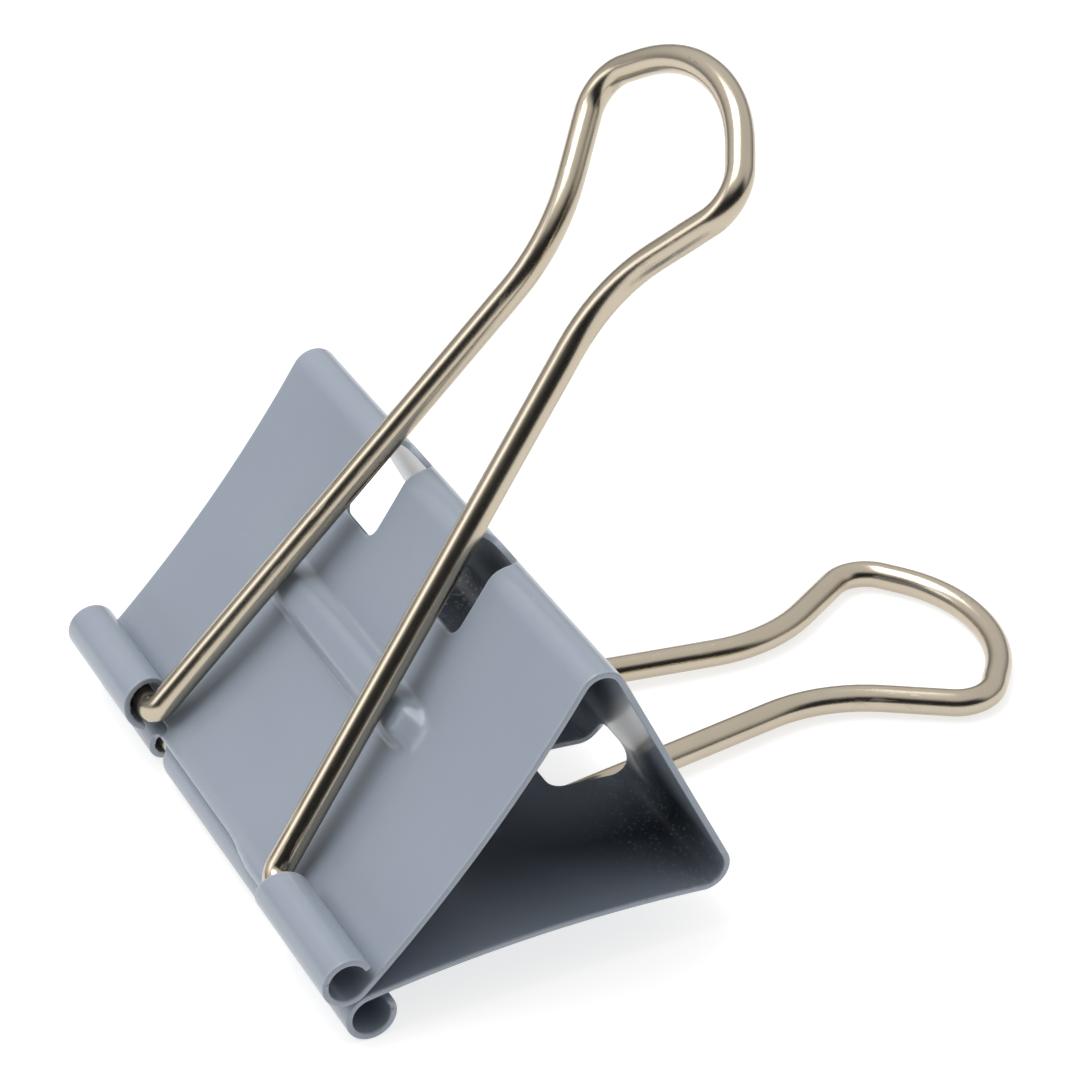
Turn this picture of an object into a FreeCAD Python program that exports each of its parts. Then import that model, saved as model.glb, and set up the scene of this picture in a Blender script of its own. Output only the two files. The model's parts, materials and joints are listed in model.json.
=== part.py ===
import FreeCAD, Part
import math
import os
import Sketcher
from FreeCAD import Placement, Rotation, Vector

# Large binder clip. One strip of spring steel is folded into a flat spine and two bowed jaws,
# and the lips are curled into tubes that hold two bent wire handles.
#
# Frame: millimetres, +Z up. The clip lies on its lower lip tubes and its lower handle.
# +X runs from the lips towards the handle loops and Y runs along the lips.
#
# Every jaw and the spine are drawn in the clip's own frame: X along the clip's middle plane
# from the tubes to the spine, Z square to that plane, and the tubes' centres at X = 0.
# A handle is drawn in its own plane, with the tube's axis along Y at X = 0.

SIZES = {
    # the strip
    "strip_width": 50.8,
    "sheet_gauge": 0.5,
    "spine_depth": 28.1,
    "spine_half": 10.05,
    "bend_radius": 1.95,
    "bow_radius": 112.0,
    # the curled lips
    "curl_radius": 2.0,
    "curl_turn": 296.0,
    "lip_turn": 22.0,
    "long_lip_turn": 76.0,
    "long_lip_half": 10.0,
    "tab_front": 12.8,
    "tab_back": 14.1,
    # the four windows at the bends
    "window_near": 4.8,
    "window_far": 10.0,
    "window_start": 21.0,
    "window_sill": 10.6,
    "window_corner": 1.0,
    # the pressed rib that a handle rests on
    "rib_place": 14.55,
    "rib_half": 13.6,
    "rib_base": 4.2,
    "rib_rise": 1.2,
    "rib_slope": 38.0,
    # the wire handles
    "wire_gauge": 2.2,
    "tip_half": 21.0,
    "root_half": 11.75,
    "root_bend": 1.4,
    "neck_reach": 48.9,
    "neck_half": 4.1,
    "neck_bend": 13.5,
    "shoulder_reach": 60.2,
    "shoulder_half": 11.15,
    "shoulder_bend": 3.4,
    "loop_reach": 65.9,
    "loop_half": 4.4,
    "loop_bend": 11.7,
    # how far each handle leans from the middle plane at rest
    "upper_lean": 25.1,
    "lower_lean": 26.2,
}

doc = FreeCAD.newDocument("binder_clip")
sheet = doc.addObject("Spreadsheet::Sheet", "Sizes")
for row, (alias, number) in enumerate(SIZES.items(), start=1):
    sheet.set("A%d" % row, alias)
    sheet.set("B%d" % row, str(number))
    sheet.setAlias("B%d" % row, alias)
doc.recompute()


def size(alias):
    return float(sheet.get(alias))


def on_circle(centre, radius, degrees):
    angle = math.radians(degrees)
    return centre + Vector(radius * math.cos(angle), radius * math.sin(angle), 0)


# ---------------------------------------------------------------- sketch helpers


def origin_plane(body, role):
    return [part for part in body.Origin.OriginFeatures if part.Role == role][0]


def new_sketch(body, name, role, offset=None):
    sketch = body.newObject("Sketcher::SketchObject", name)
    sketch.AttachmentSupport = [(origin_plane(body, role), "")]
    sketch.MapMode = "FlatFace"
    if offset:
        sketch.AttachmentOffset = offset
    return sketch


def draw_line(sketch, start, end):
    """A straight edge. Gives its geometry number and which ends it starts and stops at."""
    return sketch.addGeometry(Part.LineSegment(start, end), False), 1, 2


def draw_arc(sketch, centre, radius, from_deg, to_deg):
    """A round edge, drawn either way round."""
    low, high = sorted((math.radians(from_deg), math.radians(to_deg)))
    circle = Part.Circle(centre, Vector(0, 0, 1), radius)
    number = sketch.addGeometry(Part.ArcOfCircle(circle, low, high), False)
    if to_deg > from_deg:
        return number, 1, 2
    return number, 2, 1


def join_ends(sketch, edges, closed=True):
    followers = edges[1:] + edges[:1] if closed else edges[1:]
    for (one, _, stop), (other, start, _) in zip(edges, followers):
        sketch.addConstraint(Sketcher.Constraint("Coincident", one, stop, other, start))


def drive(sketch, name, formula, kind, *arguments):
    """Add a sized constraint and tie it to the sheet."""
    number = sketch.addConstraint(Sketcher.Constraint(kind, *arguments))
    sketch.renameConstraint(number, name)
    sketch.setExpression("Constraints." + name, formula)


def draw_rectangle(sketch, low_x, low_y, high_x, high_y):
    """A closed rectangle. Gives the numbers of its bottom, right, top and left edges."""
    corners = [Vector(low_x, low_y, 0), Vector(high_x, low_y, 0), Vector(high_x, high_y, 0), Vector(low_x, high_y, 0)]
    edges = [draw_line(sketch, corners[i], corners[(i + 1) % 4]) for i in range(4)]
    join_ends(sketch, edges)
    numbers = [edge[0] for edge in edges]
    for number, kind in zip(numbers, ("Horizontal", "Vertical", "Horizontal", "Vertical")):
        sketch.addConstraint(Sketcher.Constraint(kind, number))
    return numbers


def round_corner_slot(sketch, start, end, near, far, corner):
    """A slot from start to end, between near and far, with its two corners at start rounded."""
    inner = Vector(start + corner, near + corner, 0)
    outer = Vector(start + corner, far - corner, 0)
    edges = [
        draw_line(sketch, Vector(end, near, 0), Vector(start + corner, near, 0)),
        draw_arc(sketch, inner, corner, 270, 180),
        draw_line(sketch, Vector(start, near + corner, 0), Vector(start, far - corner, 0)),
        draw_arc(sketch, outer, corner, 180, 90),
        draw_line(sketch, Vector(start + corner, far, 0), Vector(end, far, 0)),
        draw_line(sketch, Vector(end, far, 0), Vector(end, near, 0)),
    ]
    join_ends(sketch, edges)
    return edges


def add_pocket(body, sketch, reverse):
    """Cut through everything on one side of a sketch, and make sure that it cut."""
    before = body.Shape.Volume
    pocket = body.newObject("PartDesign::Pocket", sketch.Name + "_cut")
    pocket.Profile = sketch
    pocket.Type = "ThroughAll"
    pocket.Reversed = reverse
    doc.recompute()
    if not body.Shape.Volume < before:
        raise RuntimeError("%s cuts nothing" % sketch.Name)
    return pocket


# ---------------------------------------------------------------- the strip


def jaw_arcs():
    """Centres and directions of the jaw's arcs, from the tubes' centre to the bend."""
    curl_centre = Vector(0, size("curl_radius"), 0)
    bend_centre = Vector(size("spine_depth") - size("bend_radius"), size("spine_half"), 0)
    half_gauge = size("sheet_gauge") / 2
    to_curl = size("bow_radius") - (size("curl_radius") - half_gauge)
    to_bend = size("bow_radius") + (size("bend_radius") - half_gauge)
    apart = bend_centre - curl_centre
    along = (to_curl ** 2 - to_bend ** 2 + apart.Length ** 2) / (2 * apart.Length)
    aside = math.sqrt(to_curl ** 2 - along ** 2)
    outward = Vector(-apart.y, apart.x, 0).normalize()
    bow_centre = curl_centre + apart.normalize() * along + outward * aside
    leave = math.degrees(math.atan2(curl_centre.y - bow_centre.y, curl_centre.x - bow_centre.x))
    meet = math.degrees(math.atan2(bend_centre.y - bow_centre.y, bend_centre.x - bow_centre.x))
    return curl_centre, bow_centre, bend_centre, leave, meet


def draw_sheet_section(sketch):
    """The jaw's wall: the start of the curl, the bowed plate and the bend into the spine."""
    curl_centre, bow_centre, bend_centre, leave, meet = jaw_arcs()
    gauge = size("sheet_gauge")
    curl, bow, bend = size("curl_radius"), size("bow_radius"), size("bend_radius")
    lip = -90 - size("lip_turn")
    edges = [
        draw_arc(sketch, curl_centre, curl, lip, leave),
        draw_arc(sketch, bow_centre, bow + gauge / 2, leave, meet),
        draw_arc(sketch, bend_centre, bend - gauge, meet + 180, 0),
        draw_line(sketch, on_circle(bend_centre, bend - gauge, 0), on_circle(bend_centre, bend, 0)),
        draw_arc(sketch, bend_centre, bend, 0, meet + 180),
        draw_arc(sketch, bow_centre, bow - gauge / 2, meet, leave),
        draw_arc(sketch, curl_centre, curl - gauge, leave, lip),
        draw_line(sketch, on_circle(curl_centre, curl - gauge, lip), on_circle(curl_centre, curl, lip)),
    ]
    join_ends(sketch, edges)
    drive(sketch, "curl_outside", "Sizes.curl_radius", "Radius", edges[0][0], curl)
    drive(sketch, "curl_inside", "Sizes.curl_radius - Sizes.sheet_gauge", "Radius", edges[6][0], curl - gauge)
    drive(sketch, "bow_inside", "Sizes.bow_radius + Sizes.sheet_gauge / 2", "Radius", edges[1][0], bow + gauge / 2)
    drive(sketch, "bow_outside", "Sizes.bow_radius - Sizes.sheet_gauge / 2", "Radius", edges[5][0], bow - gauge / 2)
    drive(sketch, "bend_inside", "Sizes.bend_radius - Sizes.sheet_gauge", "Radius", edges[2][0], bend - gauge)
    drive(sketch, "bend_outside", "Sizes.bend_radius", "Radius", edges[4][0], bend)


def draw_curl_section(sketch):
    """The curled lip: a tube whose free edge comes back down to the plate."""
    curl_centre, _, _, leave, _ = jaw_arcs()
    curl, gauge = size("curl_radius"), size("sheet_gauge")
    first = -90
    last = leave - size("curl_turn")
    edges = [
        draw_arc(sketch, curl_centre, curl, first, last),
        draw_line(sketch, on_circle(curl_centre, curl, last), on_circle(curl_centre, curl - gauge, last)),
        draw_arc(sketch, curl_centre, curl - gauge, last, first),
        draw_line(sketch, on_circle(curl_centre, curl - gauge, first), on_circle(curl_centre, curl, first)),
    ]
    join_ends(sketch, edges)
    drive(sketch, "tube_outside", "Sizes.curl_radius", "Radius", edges[0][0], curl)
    drive(sketch, "tube_inside", "Sizes.curl_radius - Sizes.sheet_gauge", "Radius", edges[2][0], curl - gauge)


def draw_long_lip_section(sketch):
    """The lower jaw's lip between its tubes, which is curled further than the upper jaw's."""
    curl_centre, _, _, _, _ = jaw_arcs()
    curl, gauge = size("curl_radius"), size("sheet_gauge")
    first = -90
    last = -90 - size("long_lip_turn")
    edges = [
        draw_arc(sketch, curl_centre, curl, first, last),
        draw_line(sketch, on_circle(curl_centre, curl, last), on_circle(curl_centre, curl - gauge, last)),
        draw_arc(sketch, curl_centre, curl - gauge, last, first),
        draw_line(sketch, on_circle(curl_centre, curl - gauge, first), on_circle(curl_centre, curl, first)),
    ]
    join_ends(sketch, edges)
    drive(sketch, "lip_outside", "Sizes.curl_radius", "Radius", edges[0][0], curl)
    drive(sketch, "lip_inside", "Sizes.curl_radius - Sizes.sheet_gauge", "Radius", edges[2][0], curl - gauge)


def draw_tab_gap(sketch):
    """The gap between the two tubes, seen square to the clip. Its sides slant."""
    front, back = size("tab_front"), size("tab_back")
    reach = size("curl_radius") + size("sheet_gauge")
    slant = (back - front) / (2 * size("curl_radius"))
    middle = (front + back) / 2
    ahead, behind = middle - slant * reach, middle + slant * reach
    corners = [Vector(-reach, -ahead, 0), Vector(reach, -behind, 0), Vector(reach, behind, 0), Vector(-reach, ahead, 0)]
    edges = [draw_line(sketch, corners[i], corners[(i + 1) % 4]) for i in range(4)]
    join_ends(sketch, edges)


def pad_both_ways(body, sketch, formula):
    pad = body.newObject("PartDesign::Pad", sketch.Name + "_pad")
    pad.Profile = sketch
    pad.SideType = "Symmetric"
    pad.setExpression("Length", formula)
    doc.recompute()
    return pad


def rib_seat(level):
    """Where the rib sits: square to the plate, level above or below its mid line."""
    _, bow_centre, _, _, _ = jaw_arcs()
    lean = math.asin((size("rib_place") - bow_centre.x) / size("bow_radius"))
    spot = on_circle(bow_centre, size("bow_radius") - level, math.degrees(lean) - 90)
    return Placement(Vector(spot.x, 0, spot.y), Rotation(Vector(0, 1, 0), -math.degrees(lean)))


def draw_rib_base(sketch, shrink):
    half_length = size("rib_half") - shrink
    half_width = size("rib_base") / 2 - shrink
    bottom, right, _, _ = draw_rectangle(sketch, -half_width, -half_length, half_width, half_length)
    drive(sketch, "across", "Sizes.rib_base - %g" % (2 * shrink), "DistanceX", bottom, 1, bottom, 2, 2 * half_width)
    drive(sketch, "along", "2 * Sizes.rib_half - %g" % (2 * shrink), "DistanceY", right, 1, right, 2, 2 * half_length)


def press_rib(body):
    """Raise the rib on the outside of the plate, and hollow it by the same form from inside."""
    gauge = size("sheet_gauge")
    crest_sketch = new_sketch(body, body.Label + "_rib", "XY_Plane", rib_seat(0))
    draw_rib_base(crest_sketch, 0)
    crest = body.newObject("PartDesign::Pad", crest_sketch.Name + "_rise")
    crest.Profile = crest_sketch
    crest.setExpression("Length", "Sizes.rib_rise + Sizes.sheet_gauge / 2")
    crest.setExpression("TaperAngle", "-Sizes.rib_slope")
    doc.recompute()
    before = body.Shape.Volume
    hollow_sketch = new_sketch(body, body.Label + "_rib_hollow", "XY_Plane", rib_seat(-gauge))
    draw_rib_base(hollow_sketch, 0)
    hollow = body.newObject("PartDesign::Pocket", hollow_sketch.Name + "_press")
    hollow.Profile = hollow_sketch
    hollow.Reversed = True
    hollow.setExpression("Length", "Sizes.rib_rise + Sizes.sheet_gauge / 2")
    hollow.setExpression("TaperAngle", "-Sizes.rib_slope")
    doc.recompute()
    if not body.Shape.Volume < before:
        raise RuntimeError("the rib of %s is not hollow" % body.Label)


def cut_windows(body):
    """Two windows that run off the plate and through the bend, down to their sill."""
    near, far, corner = size("window_near"), size("window_far"), size("window_corner")
    plan = new_sketch(body, body.Label + "_windows", "XY_Plane")
    past_bend = size("spine_depth") - size("bend_radius") / 2
    for low, high in ((near, far), (-far, -near)):
        edges = round_corner_slot(plan, size("window_start"), past_bend, low, high, corner)
        for edge, side in ((edges[1], "in"), (edges[3], "out")):
            name = "corner_%s_%s" % (side, "right" if low > 0 else "left")
            drive(plan, name, "Sizes.window_corner", "Radius", edge[0], corner)
    add_pocket(body, plan, True)
    bend_start = Placement(Vector(0, 0, size("spine_depth") - size("bend_radius")), Rotation())
    sill = new_sketch(body, body.Label + "_sills", "YZ_Plane", bend_start)
    top = size("spine_half") + size("bend_radius") + size("sheet_gauge")
    for low, high in ((near, far), (-far, -near)):
        draw_rectangle(sill, low, size("window_sill"), high, top)
    add_pocket(body, sill, True)


def make_jaw(label, long_lip=False):
    body = doc.addObject("PartDesign::Body", label)
    body.Label = label
    curl = new_sketch(body, label + "_curl", "XZ_Plane")
    draw_curl_section(curl)
    pad_both_ways(body, curl, "Sizes.strip_width")
    gap = new_sketch(body, label + "_tab_gap", "XY_Plane")
    draw_tab_gap(gap)
    add_pocket(body, gap, True)
    wall = new_sketch(body, label + "_wall", "XZ_Plane")
    draw_sheet_section(wall)
    pad_both_ways(body, wall, "Sizes.strip_width")
    if long_lip:
        lip = new_sketch(body, label + "_long_lip", "XZ_Plane")
        draw_long_lip_section(lip)
        pad_both_ways(body, lip, "2 * Sizes.long_lip_half")
    press_rib(body)
    cut_windows(body)
    return body


def make_spine(label):
    body = doc.addObject("PartDesign::Body", label)
    body.Label = label
    section = new_sketch(body, label + "_section", "XZ_Plane")
    depth, half, gauge = size("spine_depth"), size("spine_half"), size("sheet_gauge")
    bottom, right, _, _ = draw_rectangle(section, depth - gauge, -half, depth, half)
    drive(section, "gauge", "Sizes.sheet_gauge", "DistanceX", bottom, 1, bottom, 2, gauge)
    drive(section, "span", "2 * Sizes.spine_half", "DistanceY", right, 1, right, 2, 2 * half)
    drive(section, "face", "Sizes.spine_depth", "DistanceX", -1, 1, right, 1, depth)
    drive(section, "foot", "-Sizes.spine_half", "DistanceY", -1, 1, right, 1, -half)
    pad_both_ways(body, section, "Sizes.strip_width")
    return body


# ---------------------------------------------------------------- the handles


def draw_rounded_run(sketch, corners, bends):
    """An open run through the corners, each inner corner rounded to its own radius."""
    edges = []
    rounds = []
    last = corners[0]
    for corner, following, (alias, radius) in zip(corners[1:-1], corners[2:], bends):
        back = (last - corner).normalize()
        ahead = (following - corner).normalize()
        half_turn = back.getAngle(ahead) / 2
        setback = radius / math.tan(half_turn)
        centre = corner + (back + ahead).normalize() * (radius / math.sin(half_turn))
        begin = corner + back * setback
        end = corner + ahead * setback
        edges.append(draw_line(sketch, last, begin))
        from_deg = math.degrees(math.atan2(begin.y - centre.y, begin.x - centre.x))
        to_deg = math.degrees(math.atan2(end.y - centre.y, end.x - centre.x))
        while to_deg - from_deg > 180:
            to_deg -= 360
        while to_deg - from_deg < -180:
            to_deg += 360
        edges.append(draw_arc(sketch, centre, radius, from_deg, to_deg))
        rounds.append((edges[-1][0], alias, radius))
        last = end
    edges.append(draw_line(sketch, last, corners[-1]))
    join_ends(sketch, edges, closed=False)
    for place, (number, alias, radius) in enumerate(rounds):
        drive(sketch, "%s_%d" % (alias, place), "Sizes." + alias, "Radius", number, radius)


def handle_corners():
    """The corners of one side of the handle, from the wire's tip to the end of the loop."""
    return [
        Vector(0, size("tip_half"), 0),
        Vector(0, size("root_half"), 0),
        Vector(size("neck_reach"), size("neck_half"), 0),
        Vector(size("shoulder_reach"), size("shoulder_half"), 0),
        Vector(size("loop_reach"), size("loop_half"), 0),
    ]


def make_handle(label):
    body = doc.addObject("PartDesign::Body", label)
    body.Label = label
    route = new_sketch(body, label + "_route", "XY_Plane")
    one_side = handle_corners()
    other_side = [Vector(point.x, -point.y, 0) for point in reversed(one_side)]
    bends = [(alias, size(alias)) for alias in ("root_bend", "neck_bend", "shoulder_bend", "loop_bend")]
    draw_rounded_run(route, one_side + other_side, bends + bends[::-1])
    wire_end = Placement(Vector(0, 0, -size("tip_half")), Rotation())
    section = new_sketch(body, label + "_section", "XZ_Plane", wire_end)
    circle = section.addGeometry(Part.Circle(Vector(0, 0, 0), Vector(0, 0, 1), size("wire_gauge") / 2), False)
    section.addConstraint(Sketcher.Constraint("Coincident", circle, 3, -1, 1))
    drive(section, "wire", "Sizes.wire_gauge", "Diameter", circle, size("wire_gauge"))
    doc.recompute()
    pipe = body.newObject("PartDesign::AdditivePipe", label + "_wire")
    pipe.Profile = section
    pipe.Spine = route
    doc.recompute()
    return body


# ---------------------------------------------------------------- the clip as it lies

rest_slope = math.degrees(math.asin((size("curl_radius") - size("wire_gauge") / 2) / size("loop_reach")))
clip_lean = size("lower_lean") - rest_slope
lean_rad = math.radians(clip_lean)
tube_shift = size("curl_radius") * math.sin(lean_rad)
lip_height = size("curl_radius") * (1 + math.cos(lean_rad))
left_end = -tube_shift - size("curl_radius")
right_end = tube_shift + size("loop_reach") * math.cos(math.radians(rest_slope)) + size("wire_gauge") / 2
lip_point = Vector(-(left_end + right_end) / 2, 0, lip_height)
clip_turn = Rotation(Vector(0, 1, 0), -clip_lean)
half_over = Rotation(Vector(1, 0, 0), 180)


def tube_axis(side):
    """The middle of a jaw's tube axis: side is 1 for the upper jaw and -1 for the lower."""
    return lip_point + clip_turn.multVec(Vector(0, 0, side * size("curl_radius")))


spine = make_spine("spine")
upper_jaw = make_jaw("upper_jaw")
lower_jaw = make_jaw("lower_jaw", long_lip=True)
upper_handle = make_handle("upper_handle")
lower_handle = make_handle("lower_handle")

spine.Placement = Placement(lip_point, clip_turn)
upper_jaw.Placement = Placement(lip_point, clip_turn)
lower_jaw.Placement = Placement(lip_point, clip_turn * half_over)
upper_handle.Placement = Placement(tube_axis(1), Rotation(Vector(0, 1, 0), -(clip_lean + size("upper_lean"))))
lower_handle.Placement = Placement(tube_axis(-1), Rotation(Vector(0, 1, 0), rest_slope))
doc.recompute()

# ---------------------------------------------------------------- checks and files

for thing in doc.Objects:
    if "Invalid" in thing.State or "Error" in thing.State:
        raise RuntimeError("%s did not compute: %s" % (thing.Name, thing.State))

os.makedirs("parts", exist_ok=True)
for piece in (spine, upper_jaw, lower_jaw, upper_handle, lower_handle):
    shape = piece.Shape
    if shape.isNull() or not shape.isValid() or len(shape.Solids) != 1:
        raise RuntimeError("%s is not one good solid" % piece.Label)
    shape.exportStep("parts/%s.step" % piece.Label)
    print("%-14s %8.1f mm3" % (piece.Label, shape.Volume))

for side, name in ((1, "upper"), (-1, "lower")):
    axis = tube_axis(side)
    corner = lip_point + clip_turn.multVec(Vector(size("spine_depth"), 0, side * size("spine_half")))
    print("%s tube axis %.3f %.3f, bend axis %.3f %.3f" % (name, axis.x, axis.z, corner.x, corner.z))
face = lip_point + clip_turn.multVec(Vector(size("spine_depth"), 0, 0))
normal = clip_turn.multVec(Vector(1, 0, 0))
print("spine face %.3f %.3f, normal %.5f %.5f" % (face.x, face.z, normal.x, normal.z))
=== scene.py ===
import json
import math

import bmesh
import bpy
from mathutils import Matrix, Vector


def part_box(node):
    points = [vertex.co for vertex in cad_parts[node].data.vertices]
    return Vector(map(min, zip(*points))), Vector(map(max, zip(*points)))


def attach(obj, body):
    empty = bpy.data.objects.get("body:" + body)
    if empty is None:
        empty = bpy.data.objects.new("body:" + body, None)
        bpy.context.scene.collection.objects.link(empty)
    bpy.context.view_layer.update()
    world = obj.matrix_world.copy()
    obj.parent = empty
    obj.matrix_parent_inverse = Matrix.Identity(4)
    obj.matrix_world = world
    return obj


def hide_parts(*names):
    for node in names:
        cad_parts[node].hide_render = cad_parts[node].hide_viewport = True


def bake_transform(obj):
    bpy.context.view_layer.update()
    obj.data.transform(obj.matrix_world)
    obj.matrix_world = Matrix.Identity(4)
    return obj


# A large binder clip: one strip of spring steel, enamelled blue-grey, and two nickel-plated wire
# handles. The strip and the wires are made the way they are made in the shop: a flat blank is
# trimmed, pressed and bent along its course, and a straight wire is bent along its own.

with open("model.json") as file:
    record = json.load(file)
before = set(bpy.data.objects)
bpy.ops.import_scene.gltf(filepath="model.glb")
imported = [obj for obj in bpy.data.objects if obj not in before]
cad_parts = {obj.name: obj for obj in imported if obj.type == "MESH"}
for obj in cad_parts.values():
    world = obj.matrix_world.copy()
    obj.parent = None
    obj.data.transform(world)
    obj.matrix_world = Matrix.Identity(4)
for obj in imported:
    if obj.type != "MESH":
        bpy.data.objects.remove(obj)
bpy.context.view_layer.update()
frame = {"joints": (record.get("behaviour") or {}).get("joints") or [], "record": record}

MM = 0.001
JOINTS = {joint["name"]: Vector(joint["pos_m"]) for joint in frame["joints"]}
MOUNTS = {mount["name"]: Vector(mount["pos_m"]) for mount in frame["record"]["mounts"]}

# ---------------------------------------------------------------- the clip's own frame
# U runs in the clip's middle plane from the tubes to the spine, V is square to that plane.

TUBE_MIDDLE = (JOINTS["upper_handle_turn"] + JOINTS["lower_handle_turn"]) / 2
BEND_MIDDLE = (JOINTS["upper_jaw_bend"] + JOINTS["lower_jaw_bend"]) / 2
U_AXIS = (BEND_MIDDLE - TUBE_MIDDLE).normalized()
V_AXIS = (JOINTS["upper_handle_turn"] - JOINTS["lower_handle_turn"]).normalized()
Y_AXIS = Vector((0, 1, 0))

# the strip
HALF_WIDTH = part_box("spine")[1].y
GAUGE = 0.5 * MM
SPINE_DEPTH = (BEND_MIDDLE - TUBE_MIDDLE).length
SPINE_HALF = (JOINTS["upper_jaw_bend"] - JOINTS["lower_jaw_bend"]).length / 2
SEAM = 8.0 * MM
BEND_MID_RADIUS = 1.7 * MM
BOW_RADIUS = 112 * MM
CURL_RADIUS = (JOINTS["upper_handle_turn"] - JOINTS["lower_handle_turn"]).length / 2
CURL_MID_RADIUS = CURL_RADIUS - GAUGE / 2
CURL_TURN = math.radians(296)
LIP_TURN = math.radians(22)
EDGE_ROUND = 0.12 * MM
FLEX_START = SEAM + 0.5 * MM

# the tabs that are curled into tubes, and the lip between them
TAB_FRONT = 12.8 * MM
TAB_BACK = 14.1 * MM
TAB_ROOT_ROUND = 1.0 * MM
TIGHT_ROOT_ROUND = 0.6 * MM
TAB_END_ROUND = 0.45 * MM
LONG_LIP_TURN = math.radians(76)
LONG_LIP_HALF = 10.0 * MM
LONG_LIP_ROUND = 0.9 * MM
LIP_SWELL = 0.52 * MM
SWELL_START = 2.5 * MM
SWELL_END = 8.0 * MM
RELIEF_NEAR = 10.8 * MM
RELIEF_FAR = 13.5 * MM
RELIEF_FLOOR_TURN = math.radians(-8)
RELIEF_ROOF_TURN = math.radians(45)
RELIEF_ROUND = 0.8 * MM

# the windows at the bends
WINDOW_NEAR = 4.8 * MM
WINDOW_FAR = 10.0 * MM
WINDOW_START = 21.0 * MM
WINDOW_SILL = 10.6 * MM
WINDOW_PLATE_ROUND = 1.0 * MM
WINDOW_SPINE_ROUND = 1.7 * MM

# the pressed rib
RIB_PLACE = 14.55 * MM
RIB_RISE = 1.2 * MM
RIB_CREST = 0.85 * MM
RIB_FOOT = 2.05 * MM
RIB_HALF = 13.9 * MM
RIB_FADE = 3.4 * MM
RIB_TAPER = 0.5 * MM

# the wire handles
WIRE_RADIUS = 1.1 * MM
WIRE_SIDES = 32
TIP_HALF = 21.0 * MM
TIP_ROUND = 0.3 * MM
TIP_RINGS = (0, 0.08, 0.2, 0.4, 0.65, 1)
HANDLE_CORNERS = [
    Vector((0, TIP_HALF)),
    Vector((0, 11.75 * MM)),
    Vector((48.9 * MM, 4.1 * MM)),
    Vector((60.2 * MM, 11.15 * MM)),
    Vector((65.9 * MM, 4.4 * MM)),
]
HANDLE_BENDS = [1.4 * MM, 13.5 * MM, 3.4 * MM, 11.7 * MM]

# how closely the blanks are divided, and how closely their points are judged
FINE_STEP = 0.25 * MM
CURVE_STEP = 0.28 * MM
COARSE_STEP = 0.5 * MM
WIRE_STEP = 1.2 * MM
WIRE_TURN_STEP = math.radians(5)
SPINE_STEPS = 16
BAND_MARGIN = 1.2 * MM
SLIDE_REACH = 0.45 * FINE_STEP
HAIR = 0.01 * MM
BLANK_WELD = 0.02 * MM
WIRE_WELD = 0.005 * MM
HALVINGS = 40
SHEARED_ANGLE = math.radians(55)
SHARP_ANGLE = math.radians(50)


# ---------------------------------------------------------------- bending along a course


class Course:
    """A path in a plane, from its stretches of (length, turn). A left turn is positive."""

    def __init__(self, start, heading, stretches):
        self.stretches = []
        self.length = 0.0
        place = Vector(start)
        for length, turn in stretches:
            self.stretches.append((self.length, place, heading, length, turn))
            place, heading = travel(place, heading, length, turn, length)
            self.length += length

    def at(self, distance):
        """The point that far along, and the way that the path heads there."""
        begun = [stretch for stretch in self.stretches if stretch[0] <= distance]
        run, place, heading, length, turn = begun[-1] if begun else self.stretches[0]
        return travel(place, heading, length, turn, distance - run)

    def distance_where(self, reached, low, high):
        """Where, between low and high, the path first meets a condition that then stays met."""
        for _ in range(HALVINGS):
            middle = (low + high) / 2
            if reached(self.at(middle)[0]):
                high = middle
            else:
                low = middle
        return high


def travel(place, heading, length, turn, distance):
    """The point and the heading, some distance along a stretch of a given length and turn."""
    if not turn:
        return place + Vector((math.cos(heading), math.sin(heading))) * distance, heading
    radius = length / turn
    after = heading + turn * distance / length
    across = Vector((math.sin(after) - math.sin(heading), math.cos(heading) - math.cos(after)))
    return place + across * radius, after


def right_of(heading):
    """The direction to the right of a path."""
    return Vector((math.sin(heading), -math.cos(heading)))


def strip_course():
    """Half the strip, along the middle of its wall: spine, bend, bowed plate and curled lip."""
    curl_centre = Vector((0, CURL_RADIUS))
    bend_centre = Vector((SPINE_DEPTH - GAUGE / 2 - BEND_MID_RADIUS, SPINE_HALF))
    to_curl = BOW_RADIUS - CURL_MID_RADIUS
    to_bend = BOW_RADIUS + BEND_MID_RADIUS
    apart = bend_centre - curl_centre
    along = (to_curl ** 2 - to_bend ** 2 + apart.length_squared) / (2 * apart.length)
    aside = math.sqrt(to_curl ** 2 - along ** 2)
    outward = Vector((-apart.y, apart.x)).normalized()
    bow_centre = curl_centre + apart.normalized() * along + outward * aside
    leave = math.atan2(curl_centre.y - bow_centre.y, curl_centre.x - bow_centre.x)
    meet = math.atan2(bend_centre.y - bow_centre.y, bend_centre.x - bow_centre.x)
    bend_turn = meet + math.pi
    bow_turn = meet - leave
    stretches = [
        (SPINE_HALF, 0),
        (BEND_MID_RADIUS * bend_turn, bend_turn),
        (BOW_RADIUS * bow_turn, -bow_turn),
        (CURL_MID_RADIUS * CURL_TURN, -CURL_TURN),
    ]
    return Course((SPINE_DEPTH - GAUGE / 2, 0), math.pi / 2, stretches), leave


STRIP, CURL_START_ANGLE = strip_course()
BEND_START = STRIP.stretches[1][0]
BOW_START = STRIP.stretches[2][0]
CURL_START = STRIP.stretches[3][0]
STRIP_END = STRIP.length


def curl_place(angle):
    """How far along the strip the curl reaches an angle about the tube's centre."""
    return CURL_START + (CURL_START_ANGLE - angle) * CURL_MID_RADIUS


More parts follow.
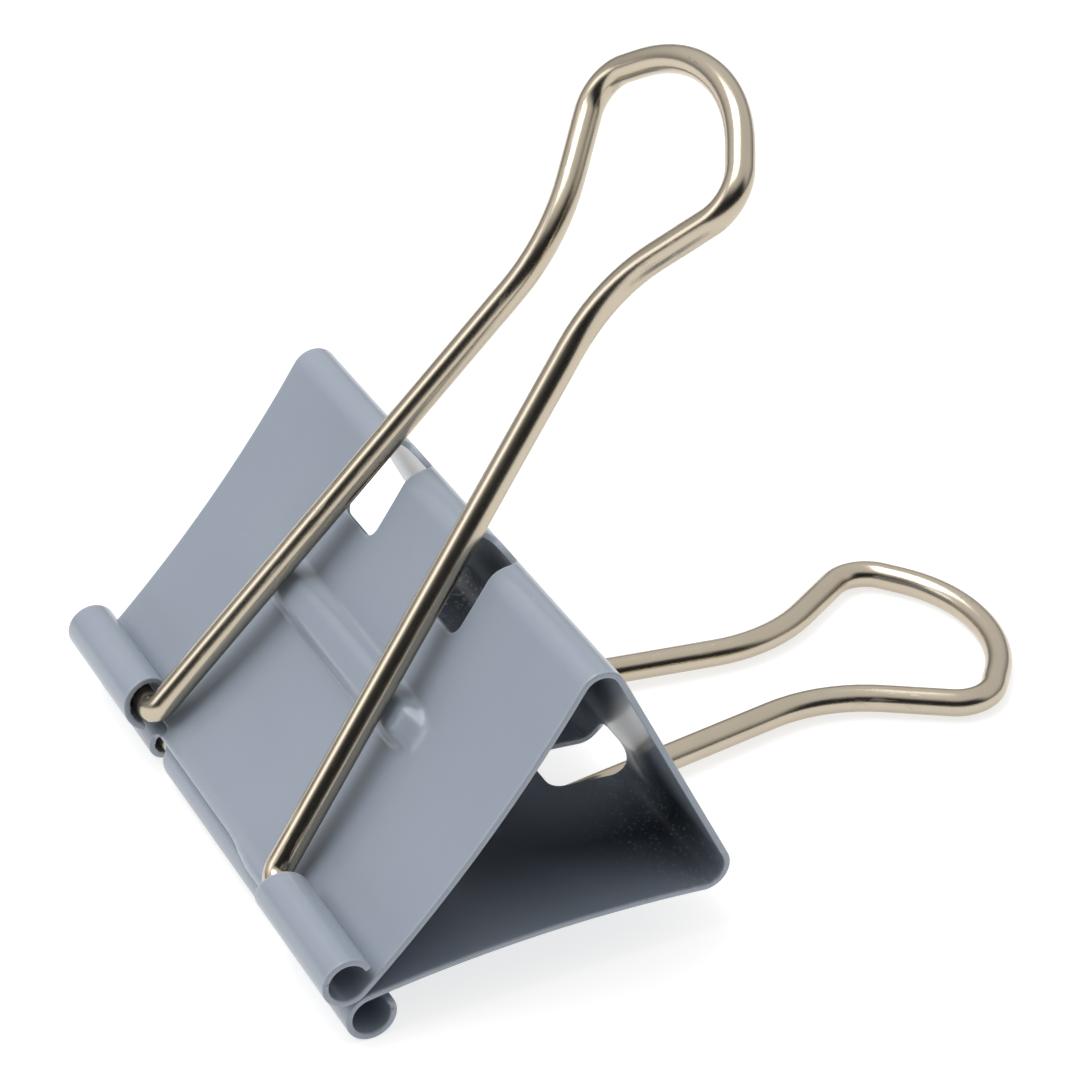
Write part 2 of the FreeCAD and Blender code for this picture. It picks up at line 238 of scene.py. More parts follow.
LIP_EDGE = curl_place(-math.pi / 2 - LIP_TURN)
LONG_LIP_EDGE = curl_place(-math.pi / 2 - LONG_LIP_TURN)
RELIEF_FLOOR = curl_place(-math.pi / 2 - RELIEF_FLOOR_TURN)
RELIEF_ROOF = curl_place(-math.pi / 2 - RELIEF_ROOF_TURN)
TUBE_FRONT = curl_place(-math.pi)
TUBE_REAR = curl_place(-2 * math.pi)
WINDOW_HIGH = STRIP.distance_where(lambda point: point.x < WINDOW_START, BOW_START, CURL_START)
WINDOW_LOW = STRIP.distance_where(lambda point: point.y > WINDOW_SILL, 0, BOW_START)
RIB_MIDDLE = STRIP.distance_where(lambda point: point.x < RIB_PLACE, BOW_START, CURL_START)


# ---------------------------------------------------------------- the blank's outline


def round_recess(one, other, radius):
    """Depth inside two sides that meet in a round corner, from the depth inside each."""
    if one < radius and other < radius:
        return radius - math.hypot(radius - one, radius - other)
    return min(one, other)


def tab_side(along):
    """Half the gap between the two tabs, which are tapered."""
    return TAB_FRONT + (TAB_BACK - TAB_FRONT) * (along - TUBE_FRONT) / (TUBE_REAR - TUBE_FRONT)


def soft_step(value, low, high):
    """0 below low, 1 above high, smooth between."""
    share = min(1.0, max(0.0, (value - low) / (high - low)))
    return share * share * (3 - 2 * share)


def gap_depth(along, across, side):
    """The gap between the tabs. The lower lip is left long there, and the upper lip swells
    towards one tab and is relieved beside the other."""
    aside = abs(across)
    in_gap = tab_side(along) - aside
    if side < 0:
        past_lip = -round_recess(LONG_LIP_EDGE - along, LONG_LIP_HALF - aside, LONG_LIP_ROUND)
        whole = round_recess(along - LIP_EDGE, in_gap, TIGHT_ROOT_ROUND)
        return round_recess(past_lip, whole, TIGHT_ROOT_ROUND)
    edge = LIP_EDGE + LIP_SWELL * soft_step(-across, SWELL_START, SWELL_END)
    if across < 0:
        return round_recess(along - edge, in_gap, TAB_ROOT_ROUND)
    in_relief = min(across - RELIEF_NEAR, RELIEF_FAR - across, RELIEF_ROOF - along)
    relief = round_recess(along - RELIEF_FLOOR, in_relief, RELIEF_ROUND)
    return max(round_recess(along - edge, in_gap, TIGHT_ROOT_ROUND), relief)


def cut_depth(along, across, side):
    """How deep a point of the flat blank is in what is cut away; negative on the metal."""
    aside = abs(across)
    from_side = HALF_WIDTH - aside
    from_end = STRIP_END - along
    window_round = WINDOW_SPINE_ROUND if along < BOW_START else WINDOW_PLATE_ROUND
    window = round_recess(
        min(along - WINDOW_LOW, WINDOW_HIGH - along),
        min(aside - WINDOW_NEAR, WINDOW_FAR - aside),
        window_round,
    )
    gap = gap_depth(along, across, side)
    outside = -round_recess(from_end, from_side, TAB_END_ROUND)
    tab_end = -from_side
    if along > TUBE_FRONT and aside > TAB_FRONT:
        tab_end = -round_recess(from_end, aside - tab_side(along), TAB_END_ROUND)
    return max(window, gap, outside, tab_end)


def slide_to_outline(vert, side):
    """Move a point of the blank onto the cut line."""
    for _ in range(3):
        along, across = vert.co.x, vert.co.y
        depth = cut_depth(along, across, side)
        slope = Vector((
            cut_depth(along + HAIR, across, side) - cut_depth(along - HAIR, across, side),
            cut_depth(along, across + HAIR, side) - cut_depth(along, across - HAIR, side),
            0,
        )) / (2 * HAIR)
        if slope.length > 0.1:
            vert.co -= slope * depth / slope.length_squared


def mirrored(half):
    """Grid lines on both sides of the middle, from those on one side."""
    return [-line for line in reversed(half[1:])] + half


def spaced(start, end, bands, fine):
    """Grid lines from start to end, close together in the bands and wider between them."""
    lines = [start]
    while lines[-1] < end:
        close = any(low <= lines[-1] <= high for low, high in bands)
        lines.append(lines[-1] + (fine if close else COARSE_STEP))
    stretch = (end - start) / (lines[-1] - start)
    return [start + (line - start) * stretch for line in lines]


def new_grid(lines_along, lines_across):
    """A flat grid with its lines at the given places along X and Y."""
    bm = bmesh.new()
    columns, rows = len(lines_along) - 1, len(lines_across) - 1
    bmesh.ops.create_grid(bm, x_segments=columns, y_segments=rows, size=0.5)
    for vert in bm.verts:
        column = round((vert.co.x + 0.5) * columns)
        row = round((vert.co.y + 0.5) * rows)
        vert.co = (lines_along[column], lines_across[row], 0)
    return bm


def cut_blank(start, end, side):
    """The flat blank from start to end along the strip, with its windows and tabs cut."""
    along_bands = [
        (BEND_START - BAND_MARGIN, BOW_START + BAND_MARGIN),
        (RIB_MIDDLE - RIB_FOOT - BAND_MARGIN, RIB_MIDDLE + RIB_FOOT + BAND_MARGIN),
        (WINDOW_HIGH - BAND_MARGIN, WINDOW_HIGH + BAND_MARGIN),
        (CURL_START - BAND_MARGIN, STRIP_END),
    ]
    across_bands = [
        (WINDOW_NEAR - BAND_MARGIN / 2, WINDOW_NEAR + BAND_MARGIN),
        (WINDOW_FAR - BAND_MARGIN, WINDOW_FAR + BAND_MARGIN / 2),
        (RIB_HALF - RIB_FADE, TAB_BACK + BAND_MARGIN / 2),
        (HALF_WIDTH - BAND_MARGIN, HALF_WIDTH),
    ]
    across = mirrored(spaced(0, HALF_WIDTH, across_bands, FINE_STEP))
    bm = new_grid(spaced(start, end, along_bands, CURVE_STEP), across)
    for vert in bm.verts:
        if abs(cut_depth(vert.co.x, vert.co.y, side)) < SLIDE_REACH:
            slide_to_outline(vert, side)
    centres = [(face, face.calc_center_median()) for face in bm.faces]
    waste = [face for face, centre in centres if cut_depth(centre.x, centre.y, side) > 0]
    bmesh.ops.delete(bm, geom=waste, context="FACES")
    for vert in bm.verts:
        if vert.is_boundary and cut_depth(vert.co.x, vert.co.y, side) > -COARSE_STEP:
            slide_to_outline(vert, side)
    near_cut = [
        vert for vert in bm.verts
        if not vert.is_boundary and cut_depth(vert.co.x, vert.co.y, side) > -2 * FINE_STEP
    ]
    for _ in range(2):
        bmesh.ops.smooth_vert(bm, verts=near_cut, factor=0.3, use_axis_x=True, use_axis_y=True)
    bmesh.ops.remove_doubles(bm, verts=bm.verts, dist=BLANK_WELD)
    return bm


def rib_height(along, across):
    """The pressed rib: a flat-topped ridge with soft shoulders, fading out at its ends."""
    narrowed = RIB_TAPER * soft_step(abs(across), RIB_HALF - RIB_FADE, RIB_HALF)
    away = abs(along - RIB_MIDDLE)
    shoulder = soft_step(RIB_FOOT - narrowed - away, 0, RIB_FOOT - RIB_CREST)
    return RIB_RISE * shoulder * soft_step(RIB_HALF - abs(across), 0, RIB_FADE)


# ---------------------------------------------------------------- from blanks to pieces


def new_piece(name, bm, finish):
    mesh = bpy.data.meshes.new(name)
    bm.to_mesh(mesh)
    bm.free()
    piece = bpy.data.objects.new(name, mesh)
    bpy.context.scene.collection.objects.link(piece)
    mesh.materials.append(finish)
    return piece


def settle_modifiers(piece):
    """Make the piece's mesh the one that its modifiers give."""
    seen = piece.evaluated_get(bpy.context.evaluated_depsgraph_get())
    settled = bpy.data.meshes.new_from_object(seen)
    old = piece.data
    piece.modifiers.clear()
    piece.data = settled
    bpy.data.meshes.remove(old)
    settled.name = piece.name


def shade_smooth(piece):
    piece.data.shade_smooth()
    piece.data.set_sharp_from_angle(angle=SHARP_ANGLE)


def strip_point(along, side):
    """The strip's middle line and its outward direction, on the upper or the lower half."""
    place, heading = STRIP.at(along)
    outward = right_of(heading)
    middle = TUBE_MIDDLE + U_AXIS * place.x + V_AXIS * (place.y * side)
    return middle, U_AXIS * outward.x + V_AXIS * (outward.y * side)


def bend_blank(bm, side):
    """Press the rib and bend the blank along the strip. Each point keeps its flat place."""
    flat = bm.verts.layers.float_vector.new("flat_place")
    edge = bm.verts.layers.float.new("edge_distance")
    for vert in bm.verts:
        along, across = vert.co.x, vert.co.y
        height = rib_height(along, across)
        middle, outward = strip_point(along, side)
        vert[flat] = (along * side, across, height)
        vert[edge] = -cut_depth(abs(along), across, side)
        vert.co = middle + outward * height + Y_AXIS * across
    bmesh.ops.recalc_face_normals(bm, faces=bm.faces)


def round_edges(bm):
    """Soften the sheared edges, but leave the joins between the strip's pieces square."""
    def at_seam(vert):
        return abs(abs((vert.co - TUBE_MIDDLE).dot(V_AXIS)) - SEAM) < HAIR

    sheared = [
        edge for edge in bm.edges
        if edge.is_manifold and edge.calc_face_angle() > SHEARED_ANGLE
        and not all(at_seam(vert) for vert in edge.verts)
    ]
    bmesh.ops.bevel(
        bm, geom=sheared, offset=EDGE_ROUND, offset_type="OFFSET", segments=3, profile=0.5,
        affect="EDGES", material=-1, clamp_overlap=False,
    )


def mark_faces_of_wall(bm, side):
    """Give each point its depth in the wall, so that a finish can tell inside from outside."""
    flat = bm.verts.layers.float_vector["flat_place"]
    for vert in bm.verts:
        along, across, height = vert[flat]
        middle, outward = strip_point(abs(along), side if along else 1)
        vert[flat] = (along, across, (vert.co - middle).dot(outward) - height)


def form_strip(name, bm, side, finish):
    """Bend a flat blank, give it its wall and round its sheared edges."""
    bend_blank(bm, side)
    piece = new_piece(name, bm, finish)
    wall = piece.modifiers.new("wall", "SOLIDIFY")
    wall.thickness = GAUGE
    wall.offset = 0
    wall.use_even_offset = True
    wall.use_quality_normals = True
    settle_modifiers(piece)
    bm = bmesh.new()
    bm.from_mesh(piece.data)
    mark_faces_of_wall(bm, side)
    round_edges(bm)
    bmesh.ops.recalc_face_normals(bm, faces=bm.faces)
    bm.to_mesh(piece.data)
    bm.free()
    shade_smooth(piece)
    return piece


def make_jaw(name, side, finish):
    """A jaw from its seam with the spine to its curled lip."""
    jaw = form_strip(name + "_shell", cut_blank(SEAM, STRIP_END, side), side, finish)
    still, _ = strip_point(FLEX_START, side)
    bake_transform(jaw)
    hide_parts(name)


def make_spine(finish):
    """The flat back, between the two jaws' seams."""
    edge_band = (HALF_WIDTH - BAND_MARGIN, HALF_WIDTH)
    across = mirrored(spaced(0, HALF_WIDTH, [edge_band], FINE_STEP))
    lines = [SEAM * step / SPINE_STEPS for step in range(-SPINE_STEPS, SPINE_STEPS + 1)]
    spine = form_strip("spine_panel", new_grid(lines, across), 1, finish)
    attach(spine, "spine")
    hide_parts("spine")


def rounded_stretches(corners, radii):
    """The straight runs and bends of a path through the corners."""
    stretches = []
    used = 0.0
    for before, corner, after, radius in zip(corners, corners[1:], corners[2:], radii):
        run, following = corner - before, after - corner
        turn = math.atan2(run.x * following.y - run.y * following.x, run.dot(following))
        setback = radius * math.tan(abs(turn) / 2)
        stretches.append((run.length - used - setback, 0))
        stretches.append((radius * abs(turn), turn))
        used = setback
    stretches.append(((corners[-1] - corners[-2]).length - used, 0))
    return stretches


def wire_lines(course):
    """Ring places along the wire: close at the bends and at the rounded tips."""
    tip = [TIP_ROUND * share for share in TIP_RINGS]
    clear = TIP_ROUND * 1.5
    lines = []
    for run, _, _, length, turn in course.stretches:
        count = math.ceil(abs(turn) / WIRE_TURN_STEP) if turn else math.ceil(length / WIRE_STEP)
        lines += [run + length * step / count for step in range(count)]
    inner = [line for line in lines if clear < line < course.length - clear]
    return tip + inner + [course.length - place for place in reversed(tip)]


def wire_radius(along, length):
    """The wire's radius, which is less where its tips are rounded."""
    from_tip = min(along, length - along, TIP_ROUND)
    return WIRE_RADIUS - TIP_ROUND + math.sqrt(TIP_ROUND ** 2 - (TIP_ROUND - from_tip) ** 2)


def make_handle(name, body, eye, finish):
    """A wire bent in one plane, from its tip in one tube round the loop to the other tube."""
    mirror_side = [Vector((corner.x, -corner.y)) for corner in reversed(HANDLE_CORNERS)]
    corners = HANDLE_CORNERS + mirror_side
    radii = HANDLE_BENDS + HANDLE_BENDS[::-1]
    course = Course(corners[0], -math.pi / 2, rounded_stretches(corners, radii))
    pivot = JOINTS[body + "_turn"]
    reach = (eye - pivot).normalized()
    lift = reach.cross(Y_AXIS)
    sides = [2 * math.pi * step / WIRE_SIDES for step in range(WIRE_SIDES + 1)]
    bm = new_grid(wire_lines(course), sides)
    straight = bm.verts.layers.float_vector.new("wire_place")
    for vert in bm.verts:
        along, angle = vert.co.x, vert.co.y
        radius = wire_radius(along, course.length)
        flat, proud = radius * math.cos(angle), radius * math.sin(angle)
        place, heading = course.at(along)
        place = place + right_of(heading) * flat
        vert[straight] = (along, flat, proud)
        vert.co = pivot + reach * place.x + Y_AXIS * place.y + lift * proud
    bmesh.ops.remove_doubles(bm, verts=bm.verts, dist=WIRE_WELD)
    bmesh.ops.holes_fill(bm, edges=[edge for edge in bm.edges if edge.is_boundary], sides=0)
    bmesh.ops.recalc_face_normals(bm, faces=bm.faces)
    handle = new_piece(name, bm, finish)
    shade_smooth(handle)
    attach(handle, body)
    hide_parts(body)


# ---------------------------------------------------------------- finishes

ENAMEL_DEEP = (0.240, 0.277, 0.333, 1)
ENAMEL_PALE = (0.274, 0.312, 0.370, 1)
# partly thinned enamel, partly a painted highlight along the sheared edges
WORN_AND_HIGHLIT_ENAMEL = (0.42, 0.46, 0.52, 1)
BARE_STEEL = (0.05, 0.05, 0.055, 1)
# painted shade: the near-black navy that the inside of the throat is painted towards
INNER_PAINTED_SHADE = (0.010, 0.018, 0.030, 1)
DUST = (0.40, 0.41, 0.43, 1)
NICKEL_DEEP = (0.45, 0.385, 0.295, 1)
NICKEL_PALE = (0.56, 0.50, 0.40, 1)
PIT_STAIN = (0.16, 0.12, 0.08, 1)
DRAWN_STRETCH = (60, 3200, 3200)

DUST_MIDDLE = BEND_START + 2.5 * MM
DUST_REACH = 8 * MM
# painted shade: how far from the edges the painted inner shade begins and where it is full
INNER_SHADE_START = 1.2 * MM
INNER_SHADE_FULL = 10.0 * MM


def feed(tree, socket, value):
    """Link another node's output to a socket, or set the socket's own value."""
    if isinstance(value, bpy.types.NodeSocket):
        tree.links.new(value, socket)
    else:
        socket.default_value = value


def add_node(tree, kind, settings=None, **inputs):
    """A node with its settings, and the values or links of its inputs by their labels."""
    node = tree.nodes.new(kind)
    for key, value in (settings or {}).items():
        setattr(node, key, value)
    for label, value in inputs.items():
        feed(tree, node.inputs[label.replace("_", " ")], value)
    return node


def math_node(tree, operation, *values):
    node = add_node(tree, "ShaderNodeMath", {"operation": operation})
    for socket, value in zip(node.inputs, values):
        feed(tree, socket, value)
    return node.outputs[0]


def product(tree, first, *others):
    """Masks and values multiplied together."""
    for other in others:
        first = math_node(tree, "MULTIPLY", first, other)
    return first


def vector_node(tree, operation, first, second):
    node = add_node(tree, "ShaderNodeVectorMath", {"operation": operation})
    feed(tree, node.inputs[0], first)
    feed(tree, node.inputs[1], second)
    return node.outputs


def noise(tree, place, scale, detail):
    return add_node(tree, "ShaderNodeTexNoise", Vector=place, Scale=scale, Detail=detail).outputs[0]


def ramp_between(tree, value, low, high):
    """0 at low and beyond it, 1 at high and beyond it, smooth between. Either may be the greater."""
    smooth = {"interpolation_type": "SMOOTHSTEP"}
    node = add_node(tree, "ShaderNodeMapRange", smooth, Value=value, From_Min=low, From_Max=high)
    return node.outputs["Result"]


def mix_colours(tree, factor, first, second):
    """A Mix node keeps its colours in sockets 6 and 7, and gives theirs in output 2."""
    node = add_node(tree, "ShaderNodeMix", {"data_type": "RGBA"})
    for socket, value in ((0, factor), (6, first), (7, second)):
        feed(tree, node.inputs[socket], value)
    return node.outputs[2]


def mix_shaders(tree, factor, first, second, output):
    """Send the mix of two shaders to the surface of the tree's output node."""
    mix = tree.nodes.new("ShaderNodeMixShader")
    for socket, value in zip(mix.inputs, (factor, first, second)):
        tree.links.new(value, socket)
    tree.links.new(mix.outputs[0], tree.nodes[output].inputs["Surface"])


def new_group(name, inputs, output):
    tree = bpy.data.node_groups.new(name, "ShaderNodeTree")
    for label, kind, value in inputs:
        socket = tree.interface.new_socket(name=label, in_out="INPUT", socket_type=kind)
        if value is not None:
            socket.default_value = value
    tree.interface.new_socket(name=output, in_out="OUTPUT", socket_type="NodeSocketFloat")
    return tree, tree.nodes.new("NodeGroupInput").outputs, tree.nodes.new("NodeGroupOutput").inputs


def use_group(tree, group, output, **inputs):
    return add_node(tree, "ShaderNodeGroup", {"node_tree": group}, **inputs).outputs[output]


def build_specks():
    """Small separate specks: dust on paint, pits in plating."""
    tree, given, made = new_group("specks", [
        ("Place", "NodeSocketVector", None),
        ("Scale", "NodeSocketFloat", 2000.0),
        ("Size", "NodeSocketFloat", 0.25),
        ("Share", "NodeSocketFloat", 0.3),
    ], "Mask")
    cells = add_node(tree, "ShaderNodeTexVoronoi", Vector=given["Place"], Scale=given["Scale"])
    lot = add_node(tree, "ShaderNodeSeparateColor", Color=cells.outputs["Color"]).outputs
    chosen = math_node(tree, "LESS_THAN", lot[0], given["Share"])
    reach = product(tree, lot[1], given["Size"])
    outside = ramp_between(tree, cells.outputs["Distance"], product(tree, reach, 0.5), reach)
    inside = math_node(tree, "SUBTRACT", 1.0, outside)
    tree.links.new(product(tree, inside, chosen), made["Mask"])
    return tree


def build_scuffs():
    """Fine broken lines in patches, drawn out along one direction."""
    tree, given, made = new_group("scuffs", [
        ("Place", "NodeSocketVector", None),
        ("Stretch", "NodeSocketVector", (1.0, 1.0, 1.0)),
        ("Threshold", "NodeSocketFloat", 0.6),
        ("Patch Scale", "NodeSocketFloat", 60.0),
    ], "Mask")
    drawn = vector_node(tree, "MULTIPLY", given["Place"], given["Stretch"])["Vector"]
    above = math_node(tree, "ADD", given["Threshold"], 0.08)
    marks = ramp_between(tree, noise(tree, drawn, 1.0, 3.0), given["Threshold"], above)
    patch = noise(tree, given["Place"], given["Patch Scale"], 2.0)
    tree.links.new(product(tree, marks, ramp_between(tree, patch, 0.45, 0.62)), made["Mask"])
    return tree


def build_unevenness():
    """A slow wander with a finer one on it, for colour, gloss and height."""
    tree, given, made = new_group("unevenness", [
        ("Place", "NodeSocketVector", None),
        ("Scale", "NodeSocketFloat", 100.0),
        ("Fine Share", "NodeSocketFloat", 0.3),
    ], "Value")
    slow = noise(tree, given["Place"], given["Scale"], 1.0)
    fine = noise(tree, given["Place"], product(tree, given["Scale"], 7.0), 2.0)
    both = tree.nodes.new("ShaderNodeMix")
    for socket, value in ((0, given["Fine Share"]), (2, slow), (3, fine)):
        tree.links.new(value, both.inputs[socket])
    tree.links.new(both.outputs[0], made["Value"])
    return tree


def new_finish(name, attribute):
    """A material with its shader, and the place that its patterns follow."""
    material = bpy.data.materials.new(name)
    material.use_nodes = True
    tree = material.node_tree
    place = add_node(tree, "ShaderNodeAttribute", {"attribute_name": attribute}).outputs["Vector"]
    return material, tree, tree.nodes["Principled BSDF"], place


def add_relief(tree, shader, height, depth):
    relief = add_node(tree, "ShaderNodeBump", Height=height, Strength=1.0, Distance=depth)
    tree.links.new(relief.outputs[0], shader.inputs["Normal"])


def edge_wear_and_highlight(tree, body, edge, place, scuffs, unevenness):
    """The enamel is thin and lighter along the sheared edges, partly wear and partly a painted
    highlight, and off them here and there.
    """
    ragged = use_group(tree, unevenness, "Value", Place=place, Scale=700.0, Fine_Share=0.5)
    # painted highlight as well as thin paint: a lighter band along the sheared edges
    thinned_and_highlit = product(tree, ramp_between(tree, edge, 0.35 * MM, 0.05 * MM), ragged, 0.5)
    worn_and_highlit = mix_colours(tree, thinned_and_highlit, body, WORN_AND_HIGHLIT_ENAMEL)
    chips = use_group(
        tree, scuffs, "Mask",
        Place=place, Stretch=(900, 500, 900), Threshold=0.64, Patch_Scale=150.0,
    )
    chipped = product(tree, chips, ramp_between(tree, edge, 0.22 * MM, 0.04 * MM), 0.7)
    return mix_colours(tree, chipped, worn_and_highlit, BARE_STEEL)


def gathered_dirt(tree, place, along, indoors, specks):
    """Dust in the inner corner at the lower bend, and a few stray specks everywhere."""
    from_corner = math_node(tree, "ABSOLUTE", math_node(tree, "ADD", along, DUST_MIDDLE))
    settled = ramp_between(tree, from_corner, DUST_REACH, 0.5 * MM)
    dust = use_group(tree, specks, "Mask", Place=place, Scale=3400.0, Size=0.7, Share=0.6)
    stray = use_group(tree, specks, "Mask", Place=place, Scale=420.0, Size=0.09, Share=0.22)
    dusty = product(tree, dust, settled, indoors)
    return math_node(tree, "MAXIMUM", dusty, product(tree, stray, 0.35))


def painted_inner_shade(tree, edge, along, indoors):
    """Painted shade: a dark mask on the inside, away from the strip's edges and from the lips,
    standing in for the shadow in the throat.
    """
    deep = ramp_between(tree, edge, INNER_SHADE_START, INNER_SHADE_FULL)
    up_course = ramp_between(tree, math_node(tree, "ABSOLUTE", along), CURL_START, BOW_START)
    return product(tree, deep, up_course, indoors)


def blue_grey_enamel(specks, scuffs, unevenness):
    """Satin enamel with a slight orange peel, worn and with a painted highlight at its edges, with
    painted shade and dust deep inside.
    """
    material, tree, shader, place = new_finish("blue_grey_enamel", "flat_place")
    edge = add_node(tree, "ShaderNodeAttribute", {"attribute_name": "edge_distance"}).outputs["Fac"]
    along, _, depth = add_node(tree, "ShaderNodeSeparateXYZ", Vector=place).outputs
    indoors = math_node(tree, "LESS_THAN", depth, 0.0)
    tone = use_group(tree, unevenness, "Value", Place=place, Scale=90.0, Fine_Share=0.25)
    body = mix_colours(tree, tone, ENAMEL_DEEP, ENAMEL_PALE)
    worn_and_highlit = edge_wear_and_highlight(tree, body, edge, place, scuffs, unevenness)
    # painted shade: the inside is darkened towards a near-black navy, away from the edges and the
    # lips
    inner_shade_mask = painted_inner_shade(tree, edge, along, indoors)
    inner_shaded = mix_colours(tree, product(tree, inner_shade_mask, 0.98), worn_and_highlit, INNER_PAINTED_SHADE)
    dirt = gathered_dirt(tree, place, along, indoors, specks)
    colour = mix_colours(tree, product(tree, dirt, 0.8), inner_shaded, DUST)
    tree.links.new(colour, shader.inputs["Base Color"])
    rubs = use_group(
        tree, scuffs, "Mask",
        Place=place, Stretch=(300, 2600, 300), Threshold=0.6, Patch_Scale=70.0,
    )
    rough = math_node(tree, "MULTIPLY_ADD", tone, 0.12, 0.24)
    tree.links.new(math_node(tree, "MULTIPLY_ADD", rubs, 0.12, rough), shader.inputs["Roughness"])
    peel = use_group(tree, unevenness, "Value", Place=place, Scale=650.0, Fine_Share=0.12)
    add_relief(tree, shader, math_node(tree, "MULTIPLY_ADD", dirt, 0.8, peel), 0.006 * MM)
    coat = math_node(tree, "MULTIPLY_ADD", inner_shade_mask, -0.25, 0.25)
    tree.links.new(coat, shader.inputs["Coat Weight"])
    shader.inputs["Coat Roughness"].default_value = 0.1
    shader.inputs["IOR"].default_value = 1.5
    return material


def nickel_plate(specks, scuffs, unevenness):
    """Bright nickel over drawn wire: warm, with lines along the wire, dull scuffs and pits."""
    material, tree, shader, place = new_finish("nickel_plate", "wire_place")
    tone = use_group(tree, unevenness, "Value", Place=place, Scale=70.0, Fine_Share=0.3)
    metal = mix_colours(tree, tone, NICKEL_DEEP, NICKEL_PALE)
    pits = use_group(tree, specks, "Mask", Place=place, Scale=2600.0, Size=0.35, Share=0.3)
    patch = use_group(tree, unevenness, "Value", Place=place, Scale=45.0, Fine_Share=0.2)
    pitted = product(tree, pits, ramp_between(tree, patch, 0.5, 0.66))
    stained = mix_colours(tree, product(tree, pitted, 0.75), metal, PIT_STAIN)
    tree.links.new(stained, shader.inputs["Base Color"])
    shader.inputs["Metallic"].default_value = 1.0
    dull = use_group(
        tree, scuffs, "Mask",
        Place=place, Stretch=(350, 2600, 2600), Threshold=0.56, Patch_Scale=55.0,
    )
    rough = math_node(tree, "MULTIPLY_ADD", tone, 0.1, 0.17)
    tree.links.new(math_node(tree, "MULTIPLY_ADD", dull, 0.16, rough), shader.inputs["Roughness"])
    lines = noise(tree, vector_node(tree, "MULTIPLY", place, DRAWN_STRETCH)["Vector"], 1.0, 3.0)
    add_relief(tree, shader, math_node(tree, "SUBTRACT", lines, pitted), 0.004 * MM)
    return material


def matt_floor():
    """Plain pale light-table, seen only from above so that the underside can be looked at."""
    material = bpy.data.materials.new("matt_floor")
    material.use_nodes = True
    tree = material.node_tree
    shader = tree.nodes["Principled BSDF"]
    shader.inputs["Base Color"].default_value = (0.45, 0.45, 0.45, 1)
    shader.inputs["Emission Color"].default_value = (1.0, 0.995, 0.985, 1)
    shader.inputs["Emission Strength"].default_value = 0.7
    shader.inputs["Roughness"].default_value = 0.9
    shader.inputs["Specular IOR Level"].default_value = 0.1
    from_below = tree.nodes.new("ShaderNodeNewGeometry").outputs["Backfacing"]
    clear = tree.nodes.new("ShaderNodeBsdfTransparent")
    mix_shaders(tree, from_below, shader.outputs[0], clear.outputs[0], "Material Output")
    return material


# ---------------------------------------------------------------- stage, light and camera

FLOOR_SIZE = 4.0
FLOOR_DROP = 0.02 * MM
OPEN_SIDE = (-0.437, -0.899, 0.0)
TENT_FOOT = (0.22, 0.22, 0.23, 1)
TENT_ROOF = (0.88, 0.88, 0.88, 1)
DARK_ROOM = (0.010, 0.012, 0.016, 1)
BACKDROP = (0.95, 0.95, 0.95, 1)


def lay_floor():
    bm = bmesh.new()
    bmesh.ops.create_grid(bm, x_segments=1, y_segments=1, size=FLOOR_SIZE)
    bmesh.ops.translate(bm, verts=bm.verts, vec=(0, 0, -FLOOR_DROP))
    floor = new_piece("floor", bm, matt_floor())


def hang_light(name, place, aim, size, power):
    lamp = bpy.data.lights.new(name, "AREA")
    lamp.shape = "RECTANGLE"
    lamp.size, lamp.size_y = size
    lamp.energy = power
    holder = bpy.data.objects.new(name, lamp)
    bpy.context.scene.collection.objects.link(holder)
    holder.location = place
    holder.rotation_euler = (Vector(aim) - Vector(place)).to_track_quat("-Z", "Y").to_euler()


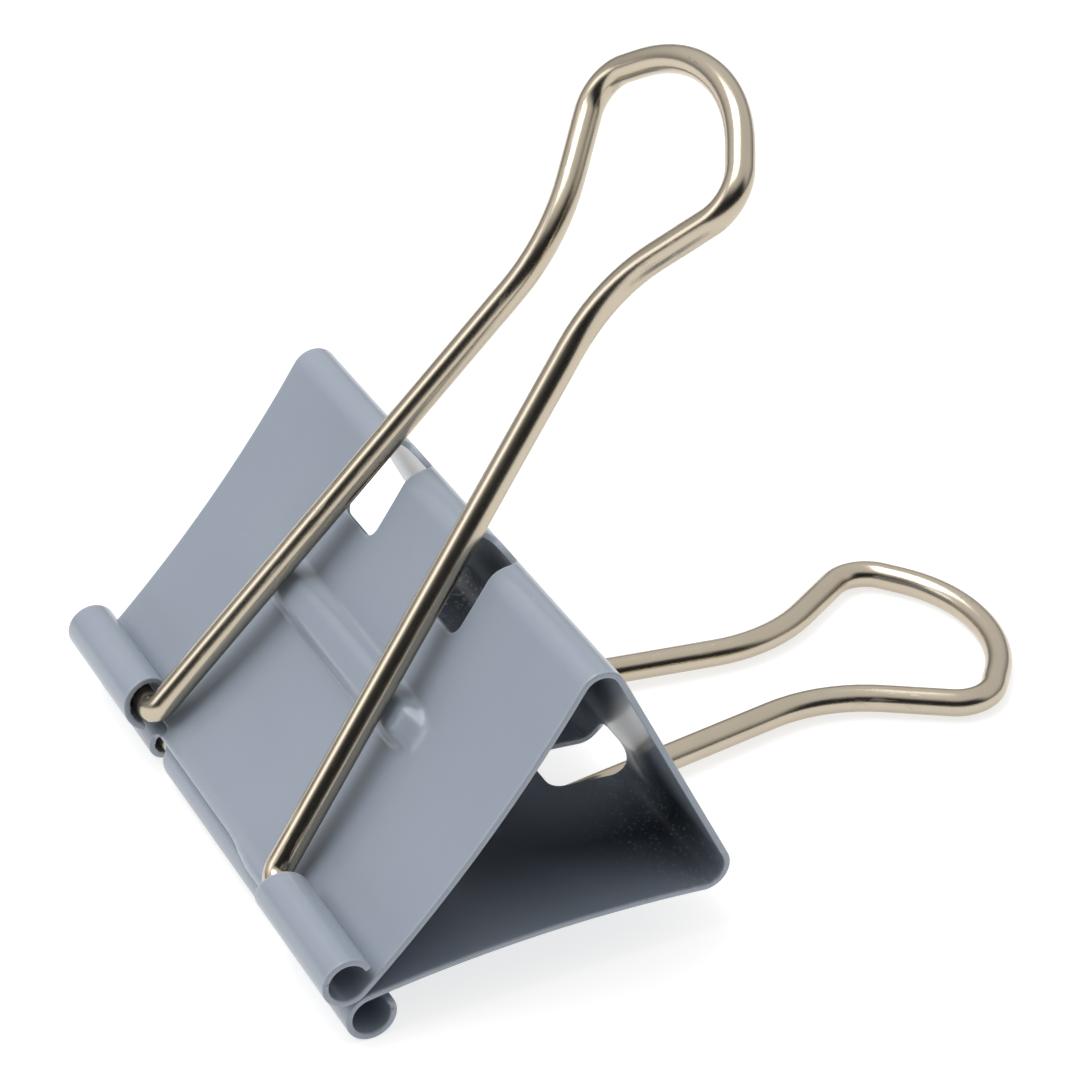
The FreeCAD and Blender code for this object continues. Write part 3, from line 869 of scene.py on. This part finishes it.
def light_studio():
    """A bright tent open to a dark room at the front, with a soft box above and one at the left."""
    middle = (0, 0, 0.02)
    hang_light("overhead_box", (-0.2, 0.2, 0.8), middle, (0.7, 0.5), 4.6)
    hang_light("left_box", (-0.7, 0.25, 0.35), middle, (0.3, 0.4), 0.6)
    world = bpy.data.worlds.new("studio")
    world.use_nodes = True
    tree = world.node_tree
    facing = add_node(tree, "ShaderNodeTexCoord").outputs["Generated"]
    front = vector_node(tree, "DOT_PRODUCT", facing, OPEN_SIDE)["Value"]
    height = add_node(tree, "ShaderNodeSeparateXYZ", Vector=facing).outputs["Z"]
    opened = ramp_between(tree, front, 0.2, 0.6)
    below_roof = ramp_between(tree, height, 0.85, 0.6)
    cloth = mix_colours(tree, ramp_between(tree, height, 0.0, 0.5), TENT_FOOT, TENT_ROOF)
    shade = mix_colours(tree, product(tree, opened, below_roof), cloth, DARK_ROOM)
    tent = tree.nodes["Background"]
    tree.links.new(shade, tent.inputs["Color"])
    backdrop = add_node(tree, "ShaderNodeBackground", Color=BACKDROP)
    seen = tree.nodes.new("ShaderNodeLightPath").outputs["Is Camera Ray"]
    mix_shaders(tree, seen, tent.outputs[0], backdrop.outputs[0], "World Output")
    bpy.context.scene.world = world
    bpy.context.scene.view_settings.view_transform = "Standard"


def place_camera():
    """Looks down on the lips, the upper jaw and the near side of the throat."""
    azimuth, elevation, roll = math.radians(25.94), math.radians(32.82), math.radians(-0.5)
    aim = Vector((-4.79 * MM, 1.7 * MM, 19.13 * MM))
    distance = 311.6 * MM
    level = Vector((math.sin(azimuth), math.cos(azimuth), 0))
    forward = level * math.cos(elevation) - Vector((0, 0, math.sin(elevation)))
    camera = bpy.data.cameras.new("camera")
    camera.sensor_width = 36
    camera.lens = 135.55
    camera.clip_start = 0.01
    holder = bpy.data.objects.new("camera", camera)
    bpy.context.scene.collection.objects.link(holder)
    turn = forward.to_track_quat("-Z", "Y").to_matrix().to_4x4() @ Matrix.Rotation(roll, 4, "Z")
    holder.matrix_world = Matrix.Translation(aim - forward * distance) @ turn
    bpy.context.scene.camera = holder


place_camera()
lay_floor()
light_studio()

SHARED = (build_specks(), build_scuffs(), build_unevenness())
ENAMEL = blue_grey_enamel(*SHARED)
NICKEL = nickel_plate(*SHARED)

make_spine(ENAMEL)
make_jaw("upper_jaw", 1, ENAMEL)
make_jaw("lower_jaw", -1, ENAMEL)
make_handle("upper_wire", "upper_handle", MOUNTS["upper_eye"], NICKEL)
make_handle("lower_wire", "lower_handle", MOUNTS["lower_eye"], NICKEL)
